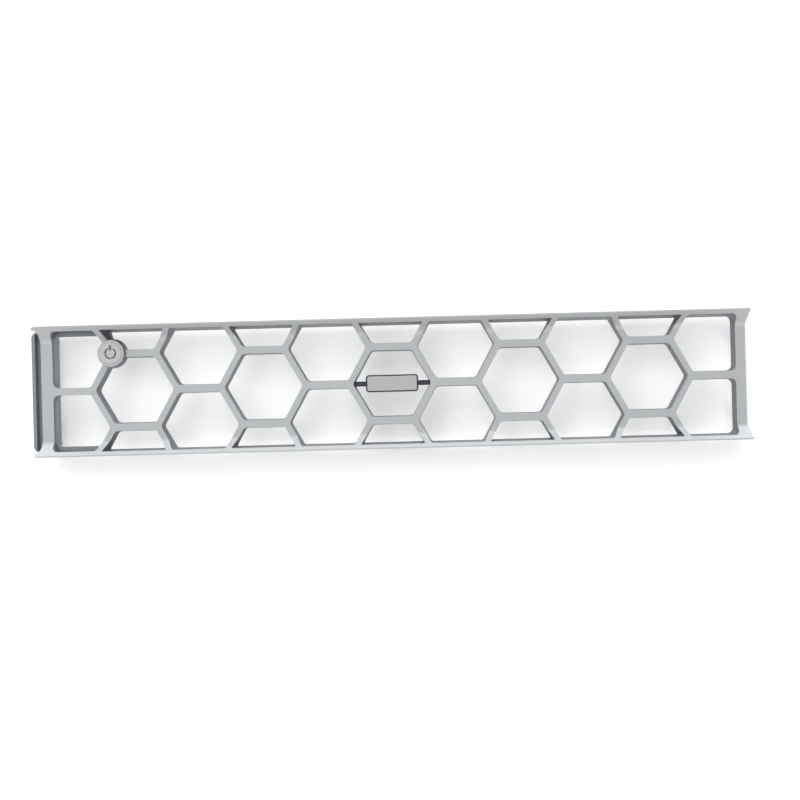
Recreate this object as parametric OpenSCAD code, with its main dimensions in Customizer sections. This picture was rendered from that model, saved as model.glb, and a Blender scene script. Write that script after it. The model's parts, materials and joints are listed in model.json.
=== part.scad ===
// Server front bezel: a cast honeycomb grille with two raised rails, a side release
// lever with spring-loaded hooks at the left end, fixed hooks at the right end and a
// tubular key lock that drives a dead bolt. X runs along the length, Z is up and the
// front looks along -Y. The origin is the centre of the plane that meets the chassis.

/* [Frame] */
// Height over both rails
frame_height = 84.4; // [80:0.1:90]
// Thickness of each rail, seen from the front
rail = 3.3; // [2.8:0.1:4]
// Depth of the honeycomb ribs
rib_depth = 9.5; // [8:0.5:14]
// Depth of the rails behind the ribs
rim_depth = 10.5; // [8:0.5:13]
// Height of the sharp lip along the front of each rail
lip = 0.9; // [0.5:0.1:1.5]
// Height of the sloping face of each rail
slope_height = 8.4; // [7:0.1:10]
// Angle of the sloping rail face from the flat front
rail_slope = 45; // [35:1:50]
// Radius of the bend between the flat front and the slope
bend_radius = 6.5; // [3:0.5:8]
// Width of the strip beside the left cells
left_strip = 7.4; // [6.6:0.1:9]
// Width of the strip beside the right cells
right_strip = 6.5; // [6.2:0.1:9]
// Reach of the rails past the left strip
rail_reach = 1.7; // [1:0.1:2.5]
// Reach of the pointed spur past the rail's corner
spur = 2; // [1:0.1:2.5]
// Outward flare of the rail tips at the right end
flare = 1.8; // [0:0.1:3]
// Depth to which the notch's ends cut into the rails
notch_bite = 0.9; // [0.6:0.1:1.2]
// Thickness of the front skin in front of the latch
skin = 4; // [3:0.1:5]

/* [Honeycomb] */
// Columns of cells to each side of the middle one
side_columns = 5; // [3:2:7]
// Length of a cell's level side
cell_side = 28.3; // [26:0.1:30]
// Sideways run of a cell's sloping side
cell_run = 13.5; // [12:0.1:15]
// Height from the whole cells' upper corners to the rail
rail_cut = 14.9; // [13.5:0.1:16]
// Width of the level struts
level_strut = 4.7; // [3.5:0.1:6]
// Width of the sloping struts
slope_strut = 3.9; // [3:0.1:5]
// Draft angle of the cells' walls
draft = 3; // [1:0.5:4]
// Fillet in the cells' corners
cell_fillet = 3; // [1:0.1:4]
// Fillet in the outer corners of the end cells
end_fillet = 3.6; // [2:0.1:4.5]
// Reach of the left cells past the centre of their column
left_trim = 11.2; // [8:0.1:13]
// Reach of the right cells past the centre of their column
right_trim = 14.5; // [13.5:0.1:16]

/* [Badge] */
// Height of the bar across the middle cell
bar_height = 3.2; // [2.5:0.1:4.5]
// Depth of the bar, front to back
bar_depth = 7.5; // [6:0.5:9]
// Length of the blank badge
badge_length = 34; // [26:0.5:38]
// Height of the blank badge
badge_height = 11.2; // [8:0.1:14]
// Radius of the badge's corners
badge_radius = 2; // [1:0.1:4]
// Width of the dark border round the badge
badge_border = 0.8; // [0.5:0.1:1.2]
// Thickness of the badge's dark carrier
carrier_thick = 2; // [1.5:0.1:3]
// Thickness of the badge's silver plate
plate_thick = 1.2; // [0.8:0.1:1.6]

/* [Release lever] */
// Distance that the lever travels when it is pressed
travel = 3.2; // [2:0.1:3.6]
// Depth of the housing that the lever runs in
housing_depth = 10; // [10:0.1:10.5]
// Reach of the lever past the left strip
lever_reach = 6.9; // [6:0.1:8]
// Width of the lever's raised ridge
ridge_width = 2.6; // [2:0.1:3]
// Distance of the ridge's ends from the notch's ends
ridge_inset = 2.2; // [2:0.1:5]
// Radius of the lever's outer corners
lever_radius = 2.6; // [1:0.1:3.5]
// Set-back of the ridge from the flat front
ridge_setback = 1.5; // [1:0.1:3]
// Depth of the finger scoop below the skin
scoop_depth = 1.4; // [0.8:0.1:2]
// Gap between the lever's ends and the notch
lever_gap = 0.6; // [0.4:0.1:1]
// Radius of the notch's inner corners
notch_radius = 3.8; // [2.5:0.1:4.5]
// Outer radius of the return springs
spring_radius = 2.5; // [2:0.1:2.6]
// Wire radius of the return springs
wire_radius = 0.3; // [0.2:0.05:0.35]
// Distance of the springs from the hooks' middles, towards the centre
spring_inset = 7; // [6:0.5:9]

/* [Hooks] */
// Thickness of the steel hook plates
hook_thick = 1.5; // [1.2:0.1:1.8]
// Reach of the hooks behind the chassis plane
hook_reach = 7; // [5:0.5:10]
// Width of each hook
hook_width = 8; // [6:0.5:9]
// Margin of the hook plates past each hook
hook_margin = 0.7; // [0.5:0.1:1.5]
// Overhang of each hook's barb
barb = 2.2; // [1.5:0.1:2.4]
// Height of the housing's end blocks, which the hook plate clears
block_height = 8.8; // [8:0.1:10]

/* [Lock] */
// Radius of the lock's boss at its face
boss_radius = 8.6; // [8.2:0.05:9.5]
// Radius by which the boss widens towards its foot
boss_taper = 0.9; // [0.3:0.1:1.2]
// Distance that the boss stays behind the rails' lips
boss_back = 5; // [3:0.1:5.5]
// Outer radius of the lock barrel
barrel_radius = 5.5; // [5.2:0.1:6]
// Radius of the barrel's flange
flange_radius = 7; // [6.6:0.1:7.4]
// Radius of the round keyway
keyway_radius = 3.8; // [3.4:0.05:4]
// Radius of the post in the keyway
post_radius = 2.8; // [2.4:0.05:2.9]
// Depth of the keyway
keyway_depth = 5; // [4:0.1:6]
// Distance of the crank pin from the lock's axis
crank = 6; // [5.8:0.1:6.5]
// Angle that the key turns through
key_turn = 90; // [60:1:90]

/* [Fits] */
// Gap between parts that move past each other
slip = 0.3; // [0.2:0.05:0.4]
// Gap round parts that are set into one another
seat = 0.1; // [0.05:0.05:0.15]
// Radial gap of the lock plug in its barrel
running = 0.05; // [0.02:0.01:0.08]
// Radius of the small screws' threads
screw_radius = 1.25; // [1:0.05:1.3]
// Radius of the small screws' heads
head_radius = 2.2; // [1.9:0.05:2.3]
// Height of the small screws' heads
head_height = 1.5; // [1.2:0.1:1.7]

/* [Hidden] */

EPS = 0.01;
SILVER = [0.75, 0.77, 0.78];
STEEL = [0.7, 0.71, 0.72];
SLATE = [0.5, 0.53, 0.56];
DARK = [0.16, 0.18, 0.22];

// levels from front to back, along Y
face_y = -rib_depth - rim_depth;
rib_back = -rim_depth;
skin_back = face_y + skin;
rise = tan(rail_slope);
lip_y = face_y - slope_height * rise;
boss_face_y = lip_y + boss_back;
front_y = lip_y - 1;

// levels along Z and stations along X
bend_height = frame_height / 2 - lip - slope_height;
rail_in = frame_height / 2 - rail;
cell_half = rail_in - rail_cut;
pitch = cell_side + cell_run;
end_column = side_columns * pitch;
cell_left = -end_column - left_trim;
cell_right = end_column + right_trim;
strip_left = cell_left - left_strip;
strip_right = cell_right + right_strip;
tip_left = strip_left - rail_reach;
tip_right = strip_right + flare;

// the notch and the pocket behind the left strip
notch_half = rail_in + notch_bite;
lever_half = notch_half - lever_gap;
ridge_half = notch_half - ridge_inset;
lever_left = strip_left - lever_reach;

// the lock sits on the upper left corner of the last whole cell
lock_x = -(side_columns - 1) * pitch - cell_side / 2;
lock_z = cell_half;

// ---------- helpers ----------

function unit(v) = v / norm(v);

// the points of an arc that rounds corner b between a and c
function corner(a, b, c, r, steps) =
    let (u = unit(a - b), v = unit(c - b), half = acos(u * v) / 2,
        centre = b + unit(u + v) * r / sin(half),
        start = b + u * r / tan(half) - centre,
        turn = (u.x * v.y - u.y * v.x > 0 ? -1 : 1) * (180 - 2 * half))
    [for (i = [0:steps]) let (t = turn * i / steps)
        centre + [start.x * cos(t) - start.y * sin(t), start.x * sin(t) + start.y * cos(t)]];

function rounded(points, radii, steps = 5) = let (n = len(points))
    [for (i = [0:n - 1]) each radii[i] == 0 ? [points[i]]
        : corner(points[(i + n - 1) % n], points[i], points[(i + 1) % n], radii[i], steps)];

function box_points(left, right, low, high) =
    [[left, low], [right, low], [right, high], [left, high]];

// raises an outline drawn in X and Z from y0 at the front to y1 at the back
module slab(y0, y1) {
    translate([0, y1, 0]) rotate([90, 0, 0]) linear_extrude(y1 - y0) children();
}

// a straight block between two corners
module block(low, high) {
    translate(low) cube(high - low);
}

// a cylinder along Y at x, z
module rod(x, z, y0, y1, r, r_back = -1, fn = 48) {
    translate([x, y0, z]) rotate([-90, 0, 0])
        cylinder(h = y1 - y0, r1 = r, r2 = r_back < 0 ? r : r_back, $fn = fn);
}

// a cylinder along X at y, z
module rod_x(x0, x1, y, z, r, fn = 40) {
    translate([x0, y, z]) rotate([0, 90, 0]) cylinder(h = x1 - x0, r = r, $fn = fn);
}

// ---------- honeycomb ----------

// how far the drafted walls have come in at depth y
function inset(y) = (y - face_y) * tan(draft);

// half width of a cell's opening at height z from the cell's middle, its walls moved in by d
function cell_x(z, d = 0) = let (slant = norm([cell_run, cell_half]) / cell_half)
    cell_side / 2 + cell_run * (1 - abs(z) / cell_half) - (slope_strut / 2 + d) * slant;

// a cell cut off level at low and high, measured from the cell's middle
function cell_slice(low, high, r_low, r_high, d = 0) = let (z0 = low + d, z1 = high - d)
    z0 < 0 && z1 > 0
    ? rounded([[-cell_x(z0, d), z0], [cell_x(z0, d), z0], [cell_x(0, d), 0], [cell_x(z1, d), z1],
            [-cell_x(z1, d), z1], [-cell_x(0, d), 0]],
        [r_low, r_low, cell_fillet, r_high, r_high, cell_fillet])
    : rounded([[-cell_x(z0, d), z0], [cell_x(z0, d), z0], [cell_x(z1, d), z1], [-cell_x(z1, d), z1]],
        [r_low, r_low, r_high, r_high]);

// a cell cut off upright on its outer side, which faces +X
function end_cell(trim, low, high, d = 0) =
    rounded([[-cell_x(low + d, d), low + d], [trim - d, low + d], [trim - d, high - d],
            [-cell_x(high - d, d), high - d], [-cell_x(0, d), 0]],
        [cell_fillet, end_fillet, end_fillet, cell_fillet, cell_fillet]);

cell_top = cell_half - level_strut / 2;
sharp_fillet = 0.5;
rail_fillet = 2;

module both_halves() {
    children();
    mirror([0, 0, 1]) children();
}

// a hole with straight but sloping walls between an outline at y0 and one at y1
module drafted(front, back, y0, y1) {
    n = len(front);
    polyhedron(concat([for (p = front) [p.x, y0, p.y]], [for (p = back) [p.x, y1, p.y]]),
        concat([[for (i = [0:n - 1]) n - 1 - i], [for (i = [0:n - 1]) n + i]],
            [for (i = [0:n - 1]) [i, (i + 1) % n, n + (i + 1) % n, n + i]]));
}

// the cells in column k: one whole and two cut ones, or two that share the height
module column(k, y0, y1) {
    function whole(d) = cell_slice(-cell_top, cell_top, cell_fillet, cell_fillet, d);
    function cut(d) = cell_slice(-cell_top, rail_in - 2 * cell_half, cell_fillet, sharp_fillet, d);
    function tall(d) = cell_slice(-cell_top, rail_cut, cell_fillet, rail_fillet, d);
    translate([k * pitch, 0, 0]) if (k % 2 == 0) {
        drafted(whole(inset(y0)), whole(inset(y1)), y0, y1);
        both_halves() translate([0, 0, 2 * cell_half])
            drafted(cut(inset(y0)), cut(inset(y1)), y0, y1);
    } else
        both_halves() translate([0, 0, cell_half])
            drafted(tall(inset(y0)), tall(inset(y1)), y0, y1);
}

module openings(y0, y1) {
    function last(d) = end_cell(right_trim, -cell_top, rail_cut, d);
    for (k = [-side_columns + 1:side_columns - 1]) column(k, y0, y1);
    both_halves() {
        translate([end_column, 0, cell_half]) drafted(last(inset(y0)), last(inset(y1)), y0, y1);
        // the housing's ledge fills the end of the left cells, so their walls are straight
        mirror([1, 0, 0]) translate([end_column, 0, cell_half]) slab(y0, y1)
            polygon(end_cell(left_trim, -cell_top, rail_cut));
    }
}

// ---------- front frame ----------

// section of the frame, drawn in Y and Z
module frame_section() {
    top = frame_height / 2;
    bend = [face_y, bend_height];
    polygon(concat(
        [[0, -top], [0, top], [lip_y, top], [lip_y, top - lip]],
        corner([lip_y, top - lip], bend, [face_y, 0], bend_radius, 8),
        corner([face_y, 0], [face_y, -bend_height], [lip_y, lip - top], bend_radius, 8),
        [[lip_y, lip - top], [lip_y, -top]]));
}

// front view of the frame without its cells
module frame_outline() {
    top = frame_height / 2;
    half = [[strip_right, 0], [strip_right, bend_height], [tip_right, top], [tip_left, top],
        [tip_left - spur, top - rail / 2], [tip_left - spur, notch_half]];
    for (s = [0, 1]) mirror([0, s]) polygon(concat(half,
        corner([tip_left - spur, notch_half], [strip_left, notch_half], [strip_left, 0],
            notch_radius, 8),
        [[strip_left, 0]]));
}

module frame_blank() {
    intersection() {
        translate([tip_left - spur - 1, 0, 0]) rotate([90, 0, 90])
            linear_extrude(tip_right - tip_left + spur + 2) frame_section();
        slab(front_y, 0) frame_outline();
    }
}

// the latch runs in this pocket behind the left strip
module latch_pocket() {
    block([tip_left - spur - 1, skin_back, -notch_half], [cell_left, 1, notch_half]);
}

housing_thread = 3;
bracket_thread = 6;
badge_thread = 5;

module front_frame() {
    color(SILVER) difference() {
        union() {
            difference() {
                frame_blank();
                openings(front_y - 1, 1);
                // the rails stand behind the ribs
                block([tip_left - spur - 1, rib_back, -rail_in], [tip_right + 1, 1, rail_in]);
                latch_pocket();
                rod(lock_x, lock_z, skin_back, 1, pocket_radius);
            }
            rod(lock_x, lock_z, boss_face_y, skin_back, boss_radius, boss_radius + boss_taper, 64);
        }
        rod(lock_x, lock_z, boss_face_y - 1, 1, barrel_radius + seat);
        rod(lock_x, lock_z, boss_face_y - 1, boss_face_y + flange_thick, flange_radius + seat, -1, 64);
        bar_clearance();
        for (s = [-1, 1]) {
            rod(housing_screw_x, s * housing_screw_z, skin_back - housing_thread, skin_back + 1,
                screw_radius);
            rod(bracket_x, s * bracket_screw_z, rib_back - bracket_thread, rib_back + 1, screw_radius);
            rod(s * badge_screw_x, 0, rib_back - badge_thread, rib_back + 1, screw_radius);
        }
    }
}

// ---------- badge ----------

ear_thick = 1.4;
ear_half = head_radius + 0.1;
ear_radius = 2;
ear_reach = 10.6;
badge_screw_x = cell_side / 2 + cell_run + 3.4;
ear_end = badge_screw_x + ear_half + 1.1;
bar_front = rib_back - bar_depth;
carrier_front = bar_front - carrier_thick;

module badge_bar() {
    color(DARK) difference() {
        union() {
            // the bar fills the middle cell from corner to corner
            intersection() {
                slab(bar_front, rib_back) polygon(cell_slice(-cell_top, cell_top, cell_fillet,
                    cell_fillet, inset(rib_back) + seat));
                block([-pitch, bar_front, -bar_height / 2], [pitch, rib_back, bar_height / 2]);
            }
            for (s = [0, 1]) mirror([s, 0, 0]) slab(rib_back, rib_back + ear_thick)
                polygon(rounded(box_points(ear_end - ear_reach, ear_end, -ear_half, ear_half),
                    [0, ear_radius, ear_radius, 0]));
        }
        for (s = [-1, 1]) rod(s * badge_screw_x, 0, rib_back - 1, 0, screw_radius + seat);
    }
}

module badge_outline(inset) {
    x = badge_length / 2 - inset;
    z = badge_height / 2 - inset;
    r = badge_radius - inset;
    polygon(rounded(box_points(-x, x, -z, z), [r, r, r, r], 8));
}

module badge_carrier() {
    color(DARK) difference() {
        slab(carrier_front, bar_front) badge_outline(0);
        slab(carrier_front - 1, carrier_front + carrier_thick / 2) badge_outline(badge_border);
    }
}

module badge_plate() {
    back = carrier_front + carrier_thick / 2;
    color(SILVER) slab(back - plate_thick, back) badge_outline(badge_border + seat);
}

thread_gap = 0.02;
slot_width = 0.5;

// a cross slot that is cut into a screw's head from y backwards
module cross_slot(x, z, y, half) {
    block([x - half, y, z - slot_width / 2], [x + half, y + head_height + 1, z + slot_width / 2]);
    block([x - slot_width / 2, y, z - half], [x + slot_width / 2, y + head_height + 1, z + half]);
}

// a pan-head screw that points towards the front, with its head's seat at y
module pan_screw(x, z, y, length) {
    shoulder = y + head_height * 0.6;
    difference() {
        union() {
            rod(x, z, y, shoulder, head_radius);
            rod(x, z, shoulder, y + head_height, head_radius, head_radius * 0.75);
            rod(x, z, y - length, y, screw_radius - thread_gap);
        }
        cross_slot(x, z, y + head_height * 0.4, head_radius * 0.6);
    }
}

module badge_screws() {
    color(STEEL) for (s = [-1, 1])
        pan_screw(s * badge_screw_x, 0, rib_back + ear_thick, ear_thick + badge_thread - 1);
}

// ---------- latch housing ----------

wall = 1.2;
housing_back = skin_back + housing_depth;
ledge = 2.9;
ledge_fillet = 3;
block_width = 2.9;
peg_length = 2.6;
cover_thick = 1.2;
cover_margin = 1.4;
cover_radius = 1;
spine_x = cell_left - wall;
block_x = spine_x - block_width;
block_low = notch_half - block_height;
cover_back = housing_back + cover_thick;
housing_screw_x = (block_x + cell_left) / 2;
housing_screw_z = block_low + head_radius + 0.2;

// the ledge that shows behind the rail in a left cell, with its fillet to the spine
module ledge_outline() {
    difference() {
        union() {
            intersection_for (shift = [-seat, seat])
                mirror([1, 0, 0]) translate([end_column + shift, cell_half])
                    polygon(end_cell(left_trim, -cell_top, rail_cut - seat));
            polygon(box_points(cell_left - EPS, cell_left + 1,
                rail_in - ledge - ledge_fillet, rail_in - end_fillet - seat));
        }
        polygon(rounded(box_points(cell_left, cell_left + 2 * pitch, -rail_in, rail_in - ledge),
            [0, 0, 0, ledge_fillet]));
    }
}

module latch_housing() {
    color(SLATE) difference() {
        union() {
            block([spine_x, skin_back, -notch_half], [cell_left, housing_back, notch_half]);
            for (s = [0, 1]) mirror([0, 0, s]) {
                block([block_x, skin_back, block_low], [spine_x + EPS, housing_back, notch_half]);
                slab(skin_back, s == 0 ? bar_front_y - slip : rib_back) ledge_outline();
            }
            for (s = [-1, 1]) rod_x(spine_x - peg_length, spine_x + EPS, lever_mid_y,
                s * spring_height, spring_radius - 2 * wire_radius - slip);
        }
        bar_passage();
        for (s = [-1, 1]) rod(housing_screw_x, s * housing_screw_z, skin_back - 1, housing_back + 1,
            screw_radius + seat);
    }
}

module latch_cover() {
    left = strip_left - cover_margin;
    half = notch_half - slip;
    color(STEEL) difference() {
        slab(housing_back, cover_back) polygon(rounded(box_points(left, cell_left - seat, -half, half),
            [for (i = [1:4]) cover_radius]));
        // notches that the hooks move in
        for (s = [-1, 1]) {
            block([left - 1, housing_back - 1, s * hook_height - hook_width / 2 - slip],
                [hook_x + hook_thick + travel + slip, cover_back + 1,
                    s * hook_height + hook_width / 2 + slip]);
            rod(housing_screw_x, s * housing_screw_z, housing_back - 1, cover_back + 1,
                screw_radius + seat);
        }
    }
}

module housing_screws() {
    color(STEEL) for (s = [-1, 1])
        pan_screw(housing_screw_x, s * housing_screw_z, cover_back,
            cover_back - skin_back + housing_thread - slip);
}

// ---------- release lever and hooks ----------

lever_front_y = skin_back + slip;
lever_back_y = housing_back - slip - hook_thick;
lever_mid_y = (lever_front_y + lever_back_y) / 2;
bar_edge_x = block_x - travel - slip;
tongue_x = spine_x - travel - 2 * slip;
tongue_half = block_low - slip;
plate_half = tongue_half;
hook_height = plate_half - hook_margin - hook_width / 2;
spring_height = hook_height - spring_inset;
spring_bore = spring_radius + slip;
spring_bore_depth = 4.8;
spring_seat_x = tongue_x - spring_bore_depth;
ridge_radius = 1.2;
scoop_radius = 0.6;
scoop_draft = 0.4;
scoop_rim = 1.2;

// section of the lever, drawn in X and Y
module lever_section() {
    ridge_y = face_y + ridge_setback;
    scoop_x = lever_left + ridge_width;
    floor_y = lever_front_y + scoop_depth;
    polygon(concat(
        rounded([[lever_left, lever_back_y], [lever_left, ridge_y], [scoop_x, ridge_y]],
            [0, ridge_radius, 0]),
        corner([scoop_x, ridge_y], [scoop_x + scoop_draft, floor_y], [strip_left, floor_y],
            scoop_radius, 4),
        [[strip_left - scoop_rim, floor_y], [strip_left - seat, lever_front_y],
            [bar_edge_x, lever_front_y], [bar_edge_x, lever_back_y]]));
}

module release_lever() {
    color(SLATE) difference() {
        union() {
            intersection() {
                translate([0, 0, -lever_half]) linear_extrude(2 * lever_half) lever_section();
                union() {
                    slab(front_y, lever_front_y) polygon(rounded(
                        box_points(lever_left, strip_left, -ridge_half, ridge_half),
                        [lever_radius, 0, 0, lever_radius]));
                    slab(lever_front_y, 0) polygon(rounded(
                        box_points(lever_left, bar_edge_x, -lever_half, lever_half),
                        [lever_radius, 0, 0, lever_radius]));
                }
            }
            block([bar_edge_x - EPS, lever_front_y, -tongue_half],
                [tongue_x, lever_back_y, tongue_half]);
        }
        for (s = [-1, 1]) {
            rod_x(spring_seat_x, tongue_x + 1, lever_mid_y, s * spring_height, spring_bore);
            rod(latch_screw_x, s * latch_screw_z, lever_back_y - latch_thread, lever_back_y + 1,
                screw_radius);
        }
        // room for the lock bar to slide past the upper end
        block([lever_left - 1, bar_front_y - slip, bar_low - slip],
            [tongue_x + 1, 0, notch_half]);
    }
}

hook_x = strip_left - 2.8;
hook_slope = 2;
barb_thick = 1;
plate_radius = 1;
latch_screw_x = hook_x + hook_thick + 1.5;
latch_screw_z = 11;
latch_thread = 5;
sink_depth = 1.2;

// a plate with two hooks that reach back; the hooks' barbs point to -X
module hook_plate(x, right, y) {
    barb_y = hook_reach - hook_slope;
    slab(y, y + hook_thick) polygon(rounded(box_points(x, right, -plate_half, plate_half),
        [for (i = [1:4]) plate_radius]));
    for (s = [-1, 1]) translate([0, 0, s * hook_height - hook_width / 2])
        linear_extrude(hook_width) polygon([[x, y], [x, barb_y - barb_thick],
            [x - barb, barb_y - barb_thick], [x - barb, barb_y], [x, hook_reach],
            [x + hook_thick, hook_reach], [x + hook_thick, y]]);
}

module latch_plate() {
    color(STEEL) difference() {
        hook_plate(hook_x, tongue_x, lever_back_y);
        for (s = [-1, 1]) countersink(latch_screw_x, s * latch_screw_z, lever_back_y + hook_thick, seat);
    }
}

// the space of a countersunk screw head with its flat top at y
module countersink(x, z, y, gap) {
    rod(x, z, y - sink_depth, y + gap, screw_radius + gap, head_radius + gap);
    rod(x, z, y - hook_thick - 1, y - sink_depth, screw_radius + gap);
}

module latch_screws() {
    y = lever_back_y + hook_thick;
    color(STEEL) for (s = [-1, 1]) difference() {
        union() {
            rod(latch_screw_x, s * latch_screw_z, y - sink_depth, y, screw_radius - thread_gap,
                head_radius);
            rod(latch_screw_x, s * latch_screw_z, lever_back_y - latch_thread + slip, y - sink_depth,
                screw_radius - thread_gap);
        }
        cross_slot(latch_screw_x, s * latch_screw_z, y - sink_depth / 2, head_radius * 0.6);
    }
}

spring_turns = 5;

// a return spring as a row of rings between its two seats
module spring(z) {
    length = spine_x - spring_seat_x - 2 * wire_radius;
    mean = spring_radius - wire_radius;
    color(STEEL) translate([spring_seat_x + wire_radius, lever_mid_y, z]) rotate([0, 90, 0])
        helix_mesh(mean, wire_radius, length, spring_turns);
}

// a coil of wire swept along a helix, with closed end turns
function helix_point(mean, length, turns, t) =
    let (dead = 0.8, live = turns - 2 * dead,
        climb = t < dead ? 0 : t > turns - dead ? 1 : (t - dead) / live)
    [mean * cos(360 * t), mean * sin(360 * t), climb * length];

module helix_mesh(mean, wire, length, turns) {
    sides = 8;
    rings = 20 * turns;
    points = [for (i = [0:rings]) let (t = i * turns / rings, c = helix_point(mean, length, turns, t))
        for (j = [0:sides - 1]) let (a = 360 * j / sides)
            c + wire * cos(a) * [cos(360 * t), sin(360 * t), 0] + wire * sin(a) * [0, 0, 1]];
    walls = [for (i = [0:rings - 1]) for (j = [0:sides - 1]) let (k = (j + 1) % sides)
        [i * sides + j, i * sides + k, (i + 1) * sides + k, (i + 1) * sides + j]];
    ends = [[for (j = [0:sides - 1]) sides - 1 - j], [for (j = [0:sides - 1]) rings * sides + j]];
    polyhedron(points, concat(walls, ends), convexity = 10);
}

module spring_upper() {
    spring(spring_height);
}

module spring_lower() {
    spring(-spring_height);
}

// ---------- lock ----------

flange_thick = 1.5;
flange_proud = 0.4;
post_proud = 0.3;
plug_front_y = boss_face_y + keyway_depth;
plug_radius = keyway_radius + 0.5;
washer_thick = 0.6;
nut_thick = 2.4;
nut_width = 2 * barrel_radius + 3;
nut_corner = nut_width / 2 / cos(30);
nut_y = skin_back + washer_thick;
pocket_radius = nut_corner + 1.1;
barrel_back_y = nut_y + nut_thick + 0.3;
cam_thick = 1.4;
cam_screw_depth = 5;
cam_radius = 4.6;
cam_y = barrel_back_y + slip;
spindle_radius = 2.9;
spindle_flat = 2.1;
crank_pin_radius = 1.25;
crank_half = 2.4;
bar_thick = 1.5;
bar_front_y = cam_y + cam_thick + 0.4;
bar_back_y = bar_front_y + bar_thick;
retainer_y = barrel_back_y - 2;
retainer_radius = 0.65;
groove_half = 1;
groove_depth = 1;
notch_width = 1.2;
notch_reach = 1.6;
mark_width = 0.6;
pin_count = 7;
pin_radius = 0.43;
pin_length = 3;
pin_ring = (keyway_radius + post_radius) / 2;

module at_lock() {
    translate([lock_x, 0, lock_z]) children();
}

module lock_barrel() {
    color(STEEL) at_lock() difference() {
        union() {
            rod(0, 0, boss_face_y - flange_proud, boss_face_y + flange_thick - seat, flange_radius,
                -1, 64);
            rod(0, 0, boss_face_y, barrel_back_y, barrel_radius);
        }
        rod(0, 0, boss_face_y - 1, plug_front_y + EPS, keyway_radius);
        rod(0, 0, plug_front_y, barrel_back_y + 1, plug_radius + running);
        // key notch at twelve o'clock and index mark at nine o'clock
        block([-notch_width / 2, boss_face_y - 1, 0],
            [notch_width / 2, plug_front_y, keyway_radius + notch_reach]);
        block([-keyway_radius - notch_reach, boss_face_y - 1, -mark_width / 2],
            [0, boss_face_y, mark_width / 2]);
        translate([0, retainer_y, 0])
            cylinder(h = barrel_radius + 1, r = retainer_radius + running, $fn = 24);
    }
}

// the plug's end with its two flats, widened by gap for the cam's hole
module spindle(y0, y1, gap) {
    intersection() {
        rod(0, 0, y0, y1, spindle_radius + gap);
        block([-spindle_flat - gap, y0 - 1, -spindle_radius - 1],
            [spindle_flat + gap, y1 + 1, spindle_radius + 1]);
    }
}

module around_post() {
    for (i = [0:pin_count - 1]) rotate([0, (i + 0.5) * 360 / pin_count, 0]) children();
}

module lock_plug() {
    back = cam_y + cam_thick;
    color(STEEL) at_lock() difference() {
        union() {
            rod(0, 0, plug_front_y, barrel_back_y, plug_radius);
            rod(0, 0, boss_face_y - post_proud, plug_front_y + EPS, post_radius);
            spindle(barrel_back_y - EPS, back, 0);
        }
        // key notch in the post
        block([-notch_width / 2, boss_face_y - 1, post_radius - 1],
            [notch_width / 2, plug_front_y, post_radius + 1]);
        around_post() rod(0, pin_ring, plug_front_y - 1, plug_front_y + pin_length,
            pin_radius + running, -1, 24);
        // groove for the retainer
        difference() {
            rod(0, 0, retainer_y - groove_half, retainer_y + groove_half, plug_radius + 1);
            rod(0, 0, retainer_y - groove_half - 1, retainer_y + groove_half + 1,
                plug_radius - groove_depth);
        }
        rod(0, 0, back - cam_screw_depth, back + 1, screw_radius);
    }
}

module lock_pins() {
    color("gold") at_lock() around_post()
        rod(0, pin_ring, plug_front_y - pin_radius, plug_front_y + pin_length, pin_radius, -1, 24);
}

module lock_retainer() {
    low = plug_radius - groove_depth + slip;
    color(STEEL) at_lock() translate([0, retainer_y, low])
        cylinder(h = barrel_radius - seat * 2 - low, r = retainer_radius, $fn = 24);
}

module lock_washer() {
    color(STEEL) at_lock() difference() {
        rod(0, 0, skin_back, nut_y, nut_width / 2 + washer_thick);
        rod(0, 0, skin_back - 1, nut_y + 1, barrel_radius + seat);
    }
}

module lock_nut() {
    color(STEEL) at_lock() difference() {
        rod(0, 0, nut_y, nut_y + nut_thick, nut_corner, -1, 6);
        rod(0, 0, nut_y - 1, nut_y + nut_thick + 1, barrel_radius + thread_gap);
    }
}

// at rest the crank points half the key's turn to the left of straight up
rest_angle = key_turn / 2;
crank_x = -crank * sin(rest_angle);
crank_z = crank * cos(rest_angle);
bar_travel = 2 * crank * sin(rest_angle);

module lock_cam() {
    back = cam_y + cam_thick;
    color(STEEL) at_lock() difference() {
        union() {
            rod(0, 0, cam_y, back, cam_radius);
            rotate([0, -rest_angle, 0]) {
                block([-crank_half, cam_y, 0], [crank_half, back, crank]);
                rod(0, crank, cam_y, back, crank_half);
                rod(0, crank, back - EPS, bar_back_y + slip, crank_pin_radius);
            }
        }
        spindle(cam_y - 1, back + 1, thread_gap);
    }
}

module cam_screw() {
    at_lock() color(STEEL) pan_screw(0, 0, cam_y + cam_thick, cam_screw_depth - slip);
}

// ---------- dead bolt ----------

fork_gap = crank_pin_radius + slip;
fork_wall = 1.6;
bar_low = rail_in - 2.5;
bar_high = rail_in + 1.5;
bolt_reach = 6.4;
bolt_chamfer = 1;
arm_run = 3.4;
fork_low = lock_z + crank_z - crank_pin_radius - slip;
fork_top = lock_z + crank + crank_pin_radius + slip;
fork_x = lock_x + crank_x;
fork_half = fork_gap + fork_wall;
fork_left = fork_x - fork_half;
fork_right = fork_x + fork_half;
bolt_x = strip_left - bolt_reach;

// the bar's outline at rest: a leg under the rail, a slanting arm and a fork
module bar_outline() {
    difference() {
        polygon([[bolt_x, bar_low + bolt_chamfer], [bolt_x + bolt_chamfer, bar_low],
            [fork_left - arm_run, bar_low], [fork_left, fork_top], [fork_left, fork_low],
            [fork_right, fork_low], [fork_right, fork_top + fork_wall], [fork_x + 0.6, bar_high],
            [bolt_x + bolt_chamfer, bar_high], [bolt_x, bar_high - bolt_chamfer]]);
        polygon(box_points(fork_x - fork_gap, fork_x + fork_gap, fork_low - 1, fork_top));
    }
}

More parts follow.
